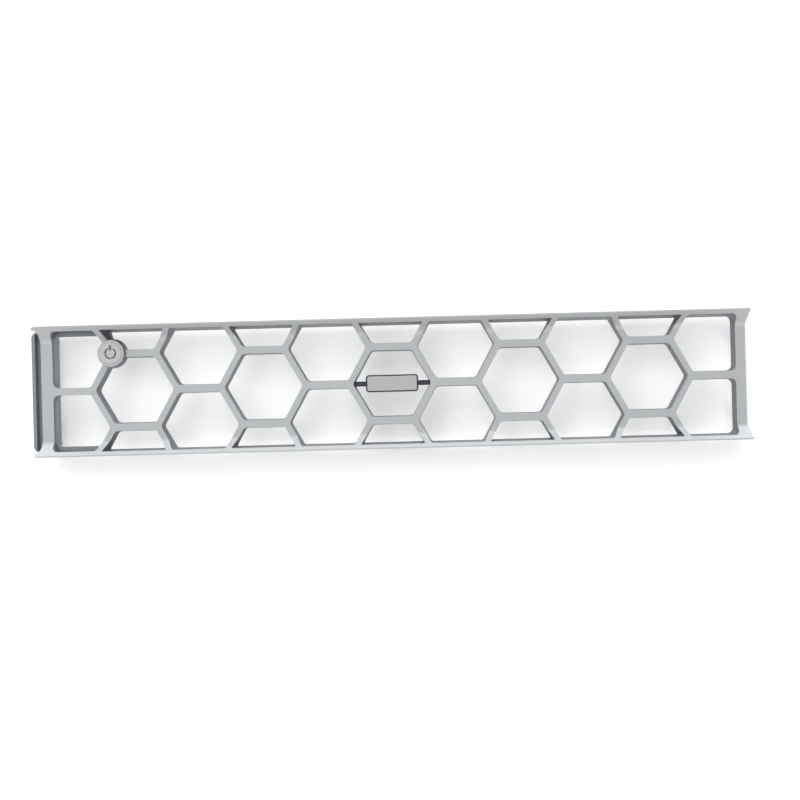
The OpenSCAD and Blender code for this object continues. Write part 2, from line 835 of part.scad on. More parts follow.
module lock_bar() {
    color(STEEL) slab(bar_front_y, bar_back_y) bar_outline();
}

// groove and passage that the bar slides in
module bar_clearance() {
    y0 = bar_front_y - slip;
    y1 = bar_back_y + slip;
    right = fork_right + bar_travel + slip;
    block([tip_left - spur - 1, y0, bar_low - slip], [right, y1, bar_high + slip]);
    block([fork_left - arm_run, y0, fork_low - slip / 2], [right, 1, rail_in]);
    block([tip_left - spur - 1, y0, bar_low - slip], [right, 1, rail_in]);
}

module bar_passage() {
    block([tip_left - spur - 1, bar_front_y - slip, bar_low - slip],
        [cell_left + 1, bar_back_y + slip, bar_high + slip]);
}

// ---------- right end ----------

bracket_margin = 0.5;
bracket_left = cell_right + bracket_margin;
bracket_right = strip_right - bracket_margin + seat;
bracket_x = (bracket_left + bracket_right) / 2 - slip;
bracket_screw_z = 12;

module hook_bracket() {
    color(STEEL) difference() {
        mirror([1, 0, 0]) hook_plate(-bracket_right, -bracket_left, rib_back);
        for (s = [-1, 1]) rod(bracket_x, s * bracket_screw_z, rib_back - 1, 0, screw_radius + seat);
    }
}

module bracket_screws() {
    color(STEEL) for (s = [-1, 1])
        pan_screw(bracket_x, s * bracket_screw_z, rib_back + hook_thick,
            hook_thick + bracket_thread - 1);
}

front_frame();
badge_bar();
badge_carrier();
badge_plate();
badge_screws();
latch_housing();
latch_cover();
housing_screws();
release_lever();
latch_plate();
latch_screws();
spring_upper();
spring_lower();
lock_barrel();
lock_plug();
lock_pins();
lock_retainer();
lock_washer();
lock_nut();
lock_cam();
cam_screw();
lock_bar();
hook_bracket();
bracket_screws();
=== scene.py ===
import json
import math

import bmesh
import bpy
from mathutils import Matrix, Vector

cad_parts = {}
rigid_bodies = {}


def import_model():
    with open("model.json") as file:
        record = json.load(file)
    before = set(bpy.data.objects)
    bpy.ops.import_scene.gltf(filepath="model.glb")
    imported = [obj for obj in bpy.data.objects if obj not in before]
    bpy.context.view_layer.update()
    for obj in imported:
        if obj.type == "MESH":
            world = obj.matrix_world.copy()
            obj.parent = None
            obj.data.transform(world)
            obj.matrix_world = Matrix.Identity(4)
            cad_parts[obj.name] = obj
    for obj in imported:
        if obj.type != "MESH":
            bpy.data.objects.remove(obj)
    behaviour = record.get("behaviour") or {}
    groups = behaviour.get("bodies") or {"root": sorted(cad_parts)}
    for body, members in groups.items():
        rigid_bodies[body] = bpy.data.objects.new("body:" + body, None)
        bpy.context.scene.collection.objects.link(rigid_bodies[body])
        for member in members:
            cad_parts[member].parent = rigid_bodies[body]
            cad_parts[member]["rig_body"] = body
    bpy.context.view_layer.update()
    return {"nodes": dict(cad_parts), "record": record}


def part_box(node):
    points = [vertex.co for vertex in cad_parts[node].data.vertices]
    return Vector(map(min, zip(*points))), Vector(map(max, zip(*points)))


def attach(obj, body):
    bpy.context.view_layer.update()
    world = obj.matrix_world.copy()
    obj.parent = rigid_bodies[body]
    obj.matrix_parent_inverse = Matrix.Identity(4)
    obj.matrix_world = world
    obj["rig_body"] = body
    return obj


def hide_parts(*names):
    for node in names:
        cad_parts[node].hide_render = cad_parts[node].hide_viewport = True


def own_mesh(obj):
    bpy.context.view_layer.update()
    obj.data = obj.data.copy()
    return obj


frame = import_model()
cadNodes = frame["nodes"]
mm = 0.001  # every size in the dictionaries below is in millimetres


# the shader groups below are shared by several finishes

def startGroup(name, inputs, outputs):
    group = bpy.data.node_groups.new(name, "ShaderNodeTree")
    for socketName, kind, value in inputs:
        socket = group.interface.new_socket(
            socketName, in_out="INPUT", socket_type="NodeSocket" + kind)
        if value is not None:
            socket.default_value = value
    for socketName, kind in outputs:
        group.interface.new_socket(socketName, in_out="OUTPUT", socket_type="NodeSocket" + kind)
    return group, group.nodes.new("NodeGroupInput"), group.nodes.new("NodeGroupOutput")


def addNode(tree, kind, settings=None, values=None):
    node = tree.nodes.new(kind)
    for key, value in (settings or {}).items():
        setattr(node, key, value)
    for key, value in (values or {}).items():
        node.inputs[key].default_value = value
    return node


def mathNode(tree, operation, first, second=None, third=None, clamp=False):
    node = addNode(tree, "ShaderNodeMath", {"operation": operation, "use_clamp": clamp})
    for slot, value in enumerate((first, second, third)):
        if value is None:
            continue
        if isinstance(value, (int, float)):
            node.inputs[slot].default_value = value
        else:
            tree.links.new(value, node.inputs[slot])
    return node.outputs[0]


def mixColour(tree, factor, first, second):
    node = addNode(tree, "ShaderNodeMix", {"data_type": "RGBA"})
    for slot, value in ((0, factor), (6, first), (7, second)):
        if isinstance(value, (int, float, tuple)):
            node.inputs[slot].default_value = value
        else:
            tree.links.new(value, node.inputs[slot])
    return node.outputs[2]


def paintGrainGroup():
    # fine metallic flakes and a faint orange-peel in a sprayed coat
    group, entry, leave = startGroup(
        "paintGrain",
        [("Flake Scale", "Float", 2600.0), ("Peel Scale", "Float", 420.0), ("Bump", "Float", 0.04)],
        [("Flakes", "Float"), ("Normal", "Vector")])
    place = addNode(group, "ShaderNodeTexCoord").outputs["Object"]
    flakes = addNode(group, "ShaderNodeTexNoise", values={"Detail": 1.0, "Roughness": 0.6})
    peel = addNode(group, "ShaderNodeTexNoise", values={"Detail": 2.0, "Roughness": 0.5})
    for noise, scale in ((flakes, "Flake Scale"), (peel, "Peel Scale")):
        group.links.new(place, noise.inputs["Vector"])
        group.links.new(entry.outputs[scale], noise.inputs["Scale"])
    fine = mathNode(group, "MULTIPLY", flakes.outputs["Fac"], 0.35)
    height = mathNode(group, "ADD", peel.outputs["Fac"], fine)
    bump = addNode(group, "ShaderNodeBump", values={"Distance": 0.0001})
    group.links.new(entry.outputs["Bump"], bump.inputs["Strength"])
    group.links.new(height, bump.inputs["Height"])
    group.links.new(flakes.outputs["Fac"], leave.inputs["Flakes"])
    group.links.new(bump.outputs["Normal"], leave.inputs["Normal"])
    return group


def edgeRubAndHighlightGroup():
    # a mask that is 1 along outer edges, broken up so that it isn't even; the finishes lighten
    # these edges, partly as rubbed wear and partly as a painted highlight
    group, entry, leave = startGroup(
        "edgeRubAndHighlight",
        [("Radius", "Float", 0.0004), ("Break", "Float", 0.35), ("Gain", "Float", 3.0)],
        [("Mask", "Float")])
    bevel = addNode(group, "ShaderNodeBevel", {"samples": 4})
    group.links.new(entry.outputs["Radius"], bevel.inputs["Radius"])
    plain = addNode(group, "ShaderNodeNewGeometry")
    along = addNode(group, "ShaderNodeVectorMath", {"operation": "DOT_PRODUCT"})
    group.links.new(bevel.outputs["Normal"], along.inputs[0])
    group.links.new(plain.outputs["True Normal"], along.inputs[1])
    bend = mathNode(group, "SUBTRACT", 1.0, along.outputs["Value"], clamp=True)
    patch = addNode(
        group, "ShaderNodeTexNoise", values={"Scale": 240.0, "Detail": 3.0, "Roughness": 0.6})
    place = addNode(group, "ShaderNodeTexCoord").outputs["Object"]
    group.links.new(place, patch.inputs["Vector"])
    worn = mathNode(group, "MULTIPLY", bend, entry.outputs["Gain"])
    gaps = mathNode(group, "MULTIPLY", patch.outputs["Fac"], entry.outputs["Break"])
    uneven = mathNode(group, "MAXIMUM", mathNode(group, "SUBTRACT", worn, gaps), 0.0)
    group.links.new(mathNode(group, "MINIMUM", uneven, 1.0), leave.inputs["Mask"])
    return group


def brushedGroup():
    # drawn scratches along one axis
    group, entry, leave = startGroup(
        "brushed",
        [("Stretch", "Vector", (40.0, 2500.0, 2500.0)), ("Bump", "Float", 0.05)],
        [("Streaks", "Float"), ("Normal", "Vector")])
    place = addNode(group, "ShaderNodeTexCoord").outputs["Object"]
    stretch = addNode(group, "ShaderNodeVectorMath", {"operation": "MULTIPLY"})
    group.links.new(place, stretch.inputs[0])
    group.links.new(entry.outputs["Stretch"], stretch.inputs[1])
    streaks = addNode(
        group, "ShaderNodeTexNoise", values={"Scale": 1.0, "Detail": 4.0, "Roughness": 0.65})
    group.links.new(stretch.outputs["Vector"], streaks.inputs["Vector"])
    bump = addNode(group, "ShaderNodeBump", values={"Distance": 0.00005})
    group.links.new(entry.outputs["Bump"], bump.inputs["Strength"])
    group.links.new(streaks.outputs["Fac"], bump.inputs["Height"])
    group.links.new(streaks.outputs["Fac"], leave.inputs["Streaks"])
    group.links.new(bump.outputs["Normal"], leave.inputs["Normal"])
    return group


def recessShadeGroup():
    # painted shade: 1 on the walls that run back from the front, fading in behind Front, where the
    # paint takes a darker colour as if the cells' walls lay in shadow
    group, entry, leave = startGroup(
        "recessShade", [("Front", "Float", -0.02), ("Fade", "Float", 0.002)],
        [("Mask", "Float")])
    place = addNode(group, "ShaderNodeTexCoord")
    axes = addNode(group, "ShaderNodeSeparateXYZ")
    group.links.new(place.outputs["Object"], axes.inputs[0])
    facing = addNode(group, "ShaderNodeSeparateXYZ")
    normal = addNode(group, "ShaderNodeNewGeometry").outputs["True Normal"]
    group.links.new(normal, facing.inputs[0])
    sideways = mathNode(group, "LESS_THAN", mathNode(group, "ABSOLUTE", facing.outputs["Y"]), 0.3)
    behind = mathNode(group, "SUBTRACT", axes.outputs["Y"], entry.outputs["Front"])
    deep = mathNode(group, "DIVIDE", behind, entry.outputs["Fade"], clamp=True)
    group.links.new(mathNode(group, "MULTIPLY", sideways, deep), leave.inputs["Mask"])
    return group


shared = {"grain": paintGrainGroup(), "rubAndHighlight": edgeRubAndHighlightGroup(), "brushed": brushedGroup(),
          "recessShade": recessShadeGroup()}
print("shader groups built:", ", ".join(shared))


def placeGroup(tree, key, **values):
    node = tree.nodes.new("ShaderNodeGroup")
    node.node_tree = shared[key]
    for name, value in values.items():
        node.inputs[name.replace("_", " ")].default_value = value
    return node


def startMaterial(name, roughness, metallic, coat=0.0):
    material = bpy.data.materials.new(name)
    material.use_nodes = True
    tree = material.node_tree
    shader = tree.nodes["Principled BSDF"]
    shader.inputs["Metallic"].default_value = metallic
    shader.inputs["Roughness"].default_value = roughness
    shader.inputs["Coat Weight"].default_value = coat
    return material, tree, shader


silverPaintLook = {
    "front": (0.415, 0.43, 0.438, 1), "light": (0.52, 0.535, 0.54, 1),
    # rubbed is the lighter edge colour, partly rubbed wear and partly a painted highlight
    # wall is a painted shade: the darker colour given to the cells' inner walls as if they lay in
    # shadow
    "wall": (0.17, 0.178, 0.195, 1), "rubbedAndHighlit": (0.86, 0.87, 0.87, 1), "rubAndHighlight": 0.6,
    "metallic": 0.45, "roughness": 0.40, "wallRoughness": 0.55, "coat": 0.12,
}


def silverPaint():
    look = silverPaintLook
    material, tree, shader = startMaterial(
        "silverPaint", look["roughness"], look["metallic"], look["coat"])
    grain = placeGroup(tree, "grain", Flake_Scale=2600.0, Peel_Scale=380.0, Bump=0.06)
    rubAndHighlight = placeGroup(tree, "rubAndHighlight", Radius=0.00035, Break=0.3, Gain=2.2)
    recessShade = placeGroup(tree, "recessShade", Front=-0.0285, Fade=0.0012)
    speckle = mixColour(tree, grain.outputs["Flakes"], look["front"], look["light"])
    rubbedAndHighlit = mathNode(tree, "MULTIPLY", rubAndHighlight.outputs["Mask"], look["rubAndHighlight"])
    # edges lightened, partly as rubbed wear and partly as a painted highlight
    edged = mixColour(tree, rubbedAndHighlit, speckle, look["rubbedAndHighlit"])
    # painted shade: the walls inside the cells are darkened as if shadowed
    colour = mixColour(tree, recessShade.outputs["Mask"], edged, look["wall"])
    tree.links.new(colour, shader.inputs["Base Color"])
    tree.links.new(grain.outputs["Normal"], shader.inputs["Normal"])
    spread = addNode(tree, "ShaderNodeMapRange", values={
        "To Min": look["roughness"], "To Max": look["wallRoughness"]})
    tree.links.new(recessShade.outputs["Mask"], spread.inputs["Value"])
    tree.links.new(spread.outputs["Result"], shader.inputs["Roughness"])
    return material


plasticLooks = {
    "dark_plastic": {"name": "darkPlastic", "colour": (0.022, 0.026, 0.034, 1),
                     "light": (0.034, 0.039, 0.048, 1), "roughness": 0.42, "rubAndHighlight": 0.1},
    "housing_plastic": {"name": "housingPlastic", "colour": (0.20, 0.218, 0.24, 1),
                        "light": (0.245, 0.262, 0.285, 1), "roughness": 0.5, "rubAndHighlight": 0.25},
    "lever_plastic": {"name": "leverPlastic", "colour": (0.175, 0.188, 0.20, 1),
                      "light": (0.215, 0.228, 0.24, 1), "roughness": 0.38, "rubAndHighlight": 0.25},
}


def mouldedPlastic(look):
    material, tree, shader = startMaterial(look["name"], look["roughness"], 0.0, coat=0.05)
    grain = placeGroup(tree, "grain", Flake_Scale=1800.0, Peel_Scale=700.0, Bump=0.12)
    rubAndHighlight = placeGroup(tree, "rubAndHighlight", Radius=0.0003, Break=0.4, Gain=2.0)
    base = mixColour(tree, grain.outputs["Flakes"], look["colour"], look["light"])
    rubbedAndHighlit = mathNode(tree, "MULTIPLY", rubAndHighlight.outputs["Mask"], look["rubAndHighlight"])
    # edges lightened, partly as rubbed wear and partly as a painted highlight
    edged = mixColour(tree, rubbedAndHighlit, base, (0.6, 0.62, 0.64, 1))
    tree.links.new(edged, shader.inputs["Base Color"])
    tree.links.new(grain.outputs["Normal"], shader.inputs["Normal"])
    return material


# stretch is how fast the scratches change along X, Y and Z, so they run along the smallest
metalLooks = {
    "badge_silver": {"name": "badgeSilver", "colour": (0.66, 0.665, 0.665, 1),
                     "light": (0.8, 0.8, 0.8, 1), "roughness": 0.34,
                     "stretch": (60.0, 3000.0, 3000.0), "bump": 0.05},
    "zinc_steel": {"name": "zincSteel", "colour": (0.55, 0.56, 0.58, 1),
                   "light": (0.7, 0.71, 0.72, 1), "roughness": 0.38,
                   "stretch": (500.0, 500.0, 90.0), "bump": 0.05},
    "screw_steel": {"name": "screwSteel", "colour": (0.6, 0.61, 0.62, 1),
                    "light": (0.75, 0.76, 0.76, 1), "roughness": 0.3,
                    "stretch": (900.0, 900.0, 900.0), "bump": 0.05},
    "spring_steel": {"name": "springSteel", "colour": (0.5, 0.51, 0.53, 1),
                     "light": (0.66, 0.67, 0.68, 1), "roughness": 0.28,
                     "stretch": (300.0, 3000.0, 3000.0), "bump": 0.05},
    "lock_nickel": {"name": "lockNickel", "colour": (0.8, 0.81, 0.81, 1),
                    "light": (0.9, 0.9, 0.89, 1), "roughness": 0.33,
                    "stretch": (700.0, 700.0, 700.0), "bump": 0.03},
    "pin_brass": {"name": "pinBrass", "colour": (0.62, 0.5, 0.27, 1),
                  "light": (0.72, 0.6, 0.35, 1), "roughness": 0.3,
                  "stretch": (600.0, 600.0, 600.0), "bump": 0.05},
}


def drawnMetal(look):
    material, tree, shader = startMaterial(look["name"], look["roughness"], 1.0)
    brushed = placeGroup(tree, "brushed", Stretch=look["stretch"], Bump=look["bump"])
    rubAndHighlight = placeGroup(tree, "rubAndHighlight", Radius=0.0002, Break=0.3, Gain=1.6)
    base = mixColour(tree, brushed.outputs["Streaks"], look["colour"], look["light"])
    rubbedAndHighlit = mathNode(tree, "MULTIPLY", rubAndHighlight.outputs["Mask"], 0.5)
    # edges lightened, partly as rubbed wear and partly as a painted highlight
    edged = mixColour(tree, rubbedAndHighlit, base, (0.95, 0.95, 0.95, 1))
    tree.links.new(edged, shader.inputs["Base Color"])
    tree.links.new(brushed.outputs["Normal"], shader.inputs["Normal"])
    uneven = addNode(tree, "ShaderNodeMapRange", values={
        "To Min": look["roughness"] * 0.75, "To Max": look["roughness"] * 1.25})
    tree.links.new(brushed.outputs["Streaks"], uneven.inputs["Value"])
    tree.links.new(uneven.outputs["Result"], shader.inputs["Roughness"])
    return material


finishes = {"silver_paint": silverPaint()}
finishes.update((slot, mouldedPlastic(look)) for slot, look in plasticLooks.items())
finishes.update((slot, drawnMetal(look)) for slot, look in metalLooks.items())
print("finishes mixed:", ", ".join(finishes))


slotOf = {entry["node"]: entry["material_slot"] for entry in frame["record"]["subparts"]}
bodyOf = {node: obj["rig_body"] for node, obj in cadNodes.items()}

# round is the bevel's width in mm, steps its segments, crease the least bend in degrees that is
# rounded, and back the share of the width that the edges of the rear half get
roundedPieces = {
    "castFrame": {"node": "front_frame", "round": 0.42, "steps": 3, "crease": 24, "back": 0.45},
    "badgeBar": {"node": "badge_bar", "round": 0.3, "steps": 2, "crease": 30, "back": 0.6},
    "badgeTray": {"node": "badge_carrier", "round": 0.22, "steps": 3, "crease": 30, "back": 0.6},
    "badgePlaque": {"node": "badge_plate", "round": 0.25, "steps": 3, "crease": 30, "back": 0.5},
    "latchHousing": {"node": "latch_housing", "round": 0.25, "steps": 2, "crease": 30, "back": 0.7},
    "latchCover": {"node": "latch_cover", "round": 0.18, "steps": 2, "crease": 30, "back": 1.0},
    "fingerLever": {"node": "release_lever", "round": 0.35, "steps": 3, "crease": 24, "back": 0.6},
    "sprungHooks": {"node": "latch_plate", "round": 0.2, "steps": 2, "crease": 30, "back": 1.0},
    "lockBarrel": {"node": "lock_barrel", "round": 0.25, "steps": 3, "crease": 30, "back": 0.8},
    "lockPlug": {"node": "lock_plug", "round": 0.15, "steps": 2, "crease": 30, "back": 0.8},
    "lockWasher": {"node": "lock_washer", "round": 0.12, "steps": 2, "crease": 30, "back": 1.0},
    "lockNut": {"node": "lock_nut", "round": 0.3, "steps": 2, "crease": 30, "back": 1.0},
    "lockCrank": {"node": "lock_cam", "round": 0.2, "steps": 2, "crease": 30, "back": 1.0},
    "deadBolt": {"node": "lock_bar", "round": 0.25, "steps": 2, "crease": 25, "back": 1.0},
    "fixedHooks": {"node": "hook_bracket", "round": 0.2, "steps": 2, "crease": 30, "back": 1.0},
}


def mergedCopy(node, name):
    # the solid's triangles joined into one skin, with flat faces made whole again
    # the distances are in metres
    mesh = cadNodes[node].data.copy()
    mesh.name = name
    shape = bmesh.new()
    shape.from_mesh(mesh)
    bmesh.ops.remove_doubles(shape, verts=shape.verts, dist=2e-6)
    bmesh.ops.dissolve_degenerate(shape, edges=shape.edges, dist=1e-6)
    bmesh.ops.dissolve_limit(
        shape, angle_limit=math.radians(0.6), verts=shape.verts, edges=shape.edges)
    return mesh, shape


def roundedPiece(name, sizes):
    mesh, shape = mergedCopy(sizes["node"], name)
    weight = shape.edges.layers.float.new("bevel_weight_edge")
    limit = math.radians(sizes["crease"])
    middle = sum((v.co.y for v in shape.verts), 0.0) / len(shape.verts)
    for face in shape.faces:
        face.smooth = True
    for edge in shape.edges:
        if len(edge.link_faces) != 2:
            continue
        bend = edge.calc_face_angle_signed(0.0)
        edge.smooth = abs(bend) < limit
        if bend > limit:
            towardsFront = min(v.co.y for v in edge.verts) < middle
            edge[weight] = 1.0 if towardsFront else sizes["back"]
    shape.to_mesh(mesh)
    shape.free()
    piece = bpy.data.objects.new(name, mesh)
    bpy.context.scene.collection.objects.link(piece)
    edges = piece.modifiers.new("rounded", "BEVEL")
    edges.limit_method = "WEIGHT"
    edges.width = sizes["round"] * mm
    edges.segments = sizes["steps"]
    edges.use_clamp_overlap = True
    edges.harden_normals = False
    mesh.materials.clear()
    mesh.materials.append(finishes[slotOf[sizes["node"]]])
    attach(piece, bodyOf[sizes["node"]])
    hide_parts(sizes["node"])
    return piece


pieces = {name: roundedPiece(name, sizes) for name, sizes in roundedPieces.items()}
for node, obj in cadNodes.items():
    if not obj.hide_render:
        obj.data.materials.clear()
        obj.data.materials.append(finishes[slotOf[node]])
print("rounded pieces:", len(pieces))


def startTree(name, sizes):
    # an empty node tree with one named input for each size
    tree = bpy.data.node_groups.new(name, "GeometryNodeTree")
    tree.interface.new_socket("Geometry", in_out="INPUT", socket_type="NodeSocketGeometry")
    for socketName, value in sizes.items():
        kind = "Int" if isinstance(value, int) else "Float"
        socket = tree.interface.new_socket(
            socketName, in_out="INPUT", socket_type="NodeSocket" + kind)
        socket.default_value = value
    tree.interface.new_socket("Finish", in_out="INPUT", socket_type="NodeSocketMaterial")
    tree.interface.new_socket("Geometry", in_out="OUTPUT", socket_type="NodeSocketGeometry")
    return tree, tree.nodes.new("NodeGroupInput").outputs, tree.nodes.new("NodeGroupOutput")


def geoNode(tree, kind, links=None, settings=None):
    # a node whose inputs take either a plain value or another node's output
    node = tree.nodes.new(kind)
    for key, value in (settings or {}).items():
        setattr(node, key, value)
    for key, value in (links or {}).items():
        if isinstance(value, bpy.types.NodeSocket):
            tree.links.new(value, node.inputs[key])
        else:
            node.inputs[key].default_value = value
    return node


def endTree(tree, sizes, leave, shape):
    real = geoNode(tree, "GeometryNodeRealizeInstances", {"Geometry": shape})
    done = geoNode(tree, "GeometryNodeSetMaterial", {
        "Geometry": real.outputs[0], "Material": sizes["Finish"]})
    tree.links.new(done.outputs[0], leave.inputs[0])
    return tree


def vector(tree, x=0.0, y=0.0, z=0.0):
    return geoNode(tree, "ShaderNodeCombineXYZ", {"X": x, "Y": y, "Z": z}).outputs[0]


def joined(tree, *shapes):
    node = tree.nodes.new("GeometryNodeJoinGeometry")
    for shape in reversed(shapes):
        tree.links.new(shape, node.inputs[0])
    return node.outputs[0]


def positionAxes(tree):
    position = geoNode(tree, "GeometryNodeInputPosition").outputs[0]
    return geoNode(tree, "ShaderNodeSeparateXYZ", {0: position})


def lathe(tree, sides, rings, radiusAt, low, high):
    # a closed round bar along Z whose radius at each height, from 0 to 1, comes from radiusAt
    bar = geoNode(tree, "GeometryNodeMeshCylinder", {
        "Vertices": sides, "Side Segments": rings, "Radius": 1.0, "Depth": 1.0})
    axes = positionAxes(tree)
    share = mathNode(tree, "ADD", axes.outputs["Z"], 0.5)
    radius = radiusAt(share, axes)
    rise = mathNode(tree, "SUBTRACT", high, low)
    place = vector(tree, mathNode(tree, "MULTIPLY", axes.outputs["X"], radius),
                   mathNode(tree, "MULTIPLY", axes.outputs["Y"], radius),
                   mathNode(tree, "MULTIPLY_ADD", share, rise, low))
    turned = geoNode(tree, "GeometryNodeSetPosition", {
        "Geometry": bar.outputs["Mesh"], "Position": place})
    return turned.outputs[0]


def crossScrewTree():
    # a row of cross-recessed screws that point down -Z, with their heads' seats at 0
    tree, size, leave = startTree("crossScrew", {
        "Head Radius": 0.0022, "Head Height": 0.0015, "Head Sink": 0.0, "Shank Radius": 0.00122,
        "Length": 0.006, "Thread Pitch": 0.0008, "Thread Depth": 0.00014,
        "Recess Radius": 0.0013, "Recess Depth": 0.0009, "Count": 2, "Spacing": 0.02})

    def headRadius(share, axes):
        # straight for the first third of its height, then rounded over
        rise = mathNode(tree, "MAXIMUM", mathNode(tree, "SUBTRACT", share, 0.35), 0.0)
        dome = mathNode(tree, "POWER", rise, 2.4)
        pan = mathNode(tree, "SUBTRACT", 1.0, mathNode(tree, "MULTIPLY", dome, 0.62))
        # a sunk head is a cone that widens from the shank to the rim
        cone = mathNode(tree, "MULTIPLY_ADD", share, 0.45, 0.55)
        sunk = mathNode(tree, "GREATER_THAN", size["Head Sink"], 0.0)
        mix = geoNode(tree, "ShaderNodeMix", {0: sunk, 2: pan, 3: cone})
        return mathNode(tree, "MULTIPLY", mix.outputs[0], size["Head Radius"])

    def shankRadius(share, axes):
        angle = mathNode(tree, "ARCTAN2", axes.outputs["Y"], axes.outputs["X"])
        turn = mathNode(tree, "DIVIDE", angle, math.tau)
        along = mathNode(tree, "MULTIPLY", share, size["Length"])
        climb = mathNode(tree, "DIVIDE", along, size["Thread Pitch"])
        ridge = mathNode(tree, "PINGPONG", mathNode(tree, "SUBTRACT", climb, turn), 0.5)
        depth = mathNode(tree, "MULTIPLY", size["Thread Depth"], 2.0)
        cut = mathNode(tree, "MULTIPLY", ridge, depth)
        point = mathNode(tree, "MINIMUM", mathNode(tree, "MULTIPLY_ADD", share, 8.0, 0.6), 1.0)
        outer = mathNode(tree, "SUBTRACT", size["Shank Radius"], cut)
        return mathNode(tree, "MULTIPLY", outer, point)

    foot = mathNode(tree, "MULTIPLY", size["Head Sink"], -1.0)
    crown = mathNode(tree, "ADD", foot, size["Head Height"])
    head = lathe(tree, 48, 14, headRadius, foot, crown)
    tip = mathNode(tree, "MULTIPLY", size["Length"], -1.0)
    neck = mathNode(tree, "MULTIPLY_ADD", size["Head Height"], 0.05, foot)
    shank = lathe(tree, 36, 72, shankRadius, tip, neck)
    wing = geoNode(tree, "GeometryNodeMeshCone", {
        "Vertices": 4, "Radius Top": mathNode(tree, "MULTIPLY", size["Recess Radius"], 1.5),
        "Radius Bottom": mathNode(tree, "MULTIPLY", size["Recess Radius"], 0.75),
        "Depth": mathNode(tree, "MULTIPLY", size["Recess Depth"], 2.0)})
    floor = mathNode(tree, "SUBTRACT", crown, size["Recess Depth"])
    wings = []
    for turn in (45.0, 135.0):
        # a four-sided cone turned to lie square is squeezed into one wing of the cross
        square = geoNode(tree, "GeometryNodeTransform", {
            "Geometry": wing.outputs["Mesh"], "Rotation": (0.0, 0.0, math.radians(45.0))})
        thin = geoNode(tree, "GeometryNodeTransform", {
            "Geometry": square.outputs[0], "Scale": (1.0, 0.27, 1.0)})
        wings.append(geoNode(tree, "GeometryNodeTransform", {
            "Geometry": thin.outputs[0], "Rotation": (0.0, 0.0, math.radians(turn)),
            "Translation": vector(tree, z=floor)}).outputs[0])
    cut = geoNode(tree, "GeometryNodeMeshBoolean", {"Mesh 1": head},
                  {"operation": "DIFFERENCE", "solver": "EXACT"})
    for one in wings:
        tree.links.new(one, cut.inputs["Mesh 2"])
    row = geoNode(tree, "GeometryNodeMeshLine", {
        "Count": size["Count"], "Offset": vector(tree, x=size["Spacing"])})
    screws = geoNode(tree, "GeometryNodeInstanceOnPoints", {
        "Points": row.outputs["Mesh"], "Instance": joined(tree, cut.outputs["Mesh"], shank)})
    return endTree(tree, size, leave, screws.outputs[0])


def onCircle(tree, angle, radius, height=0.0):
    return vector(tree, mathNode(tree, "MULTIPLY", mathNode(tree, "COSINE", angle), radius),
                  mathNode(tree, "MULTIPLY", mathNode(tree, "SINE", angle), radius), height)


def coilSpringTree():
    # a helix along Z with closed end turns that are ground flat
    tree, size, leave = startTree("coilSpring", {
        "Mean Radius": 0.0022, "Wire Radius": 0.0003, "Length": 0.008, "Turns": 5.0,
        "Dead Turns": 0.8})
    line = geoNode(tree, "GeometryNodeCurvePrimitiveLine", {"End": (0.0, 0.0, 1.0)})
    fine = geoNode(tree, "GeometryNodeResampleCurve", {
        "Curve": line.outputs[0], "Count": 260})
    share = geoNode(tree, "GeometryNodeSplineParameter").outputs["Factor"]
    turned = mathNode(tree, "MULTIPLY", share, size["Turns"])
    dead = mathNode(tree, "MULTIPLY", size["Dead Turns"], 2.0)
    live = mathNode(tree, "SUBTRACT", size["Turns"], dead)
    risen = mathNode(tree, "SUBTRACT", turned, size["Dead Turns"])
    climb = mathNode(tree, "DIVIDE", risen, live, clamp=True)
    angle = mathNode(tree, "MULTIPLY", turned, math.tau)
    wireWidth = mathNode(tree, "MULTIPLY", size["Wire Radius"], 2.0)
    inner = mathNode(tree, "SUBTRACT", size["Length"], wireWidth)
    height = mathNode(tree, "MULTIPLY_ADD", climb, inner, size["Wire Radius"])
    helix = geoNode(tree, "GeometryNodeSetPosition", {
        "Geometry": fine.outputs[0],
        "Position": onCircle(tree, angle, size["Mean Radius"], height)})
    wire = geoNode(tree, "GeometryNodeCurvePrimitiveCircle", {
        "Resolution": 14, "Radius": size["Wire Radius"]})
    coil = geoNode(tree, "GeometryNodeCurveToMesh", {
        "Curve": helix.outputs[0], "Profile Curve": wire.outputs[0], "Fill Caps": True})
    axes = positionAxes(tree)
    grind = mathNode(tree, "MULTIPLY", size["Wire Radius"], 0.45)
    level = mathNode(tree, "MINIMUM", mathNode(tree, "MAXIMUM", axes.outputs["Z"], grind),
                     mathNode(tree, "SUBTRACT", size["Length"], grind))
    ground = geoNode(tree, "GeometryNodeSetPosition", {
        "Geometry": coil.outputs[0],
        "Position": vector(tree, axes.outputs["X"], axes.outputs["Y"], level)})
    smooth = geoNode(tree, "GeometryNodeSetShadeSmooth", {"Geometry": ground.outputs[0]})
    return endTree(tree, size, leave, smooth.outputs[0])


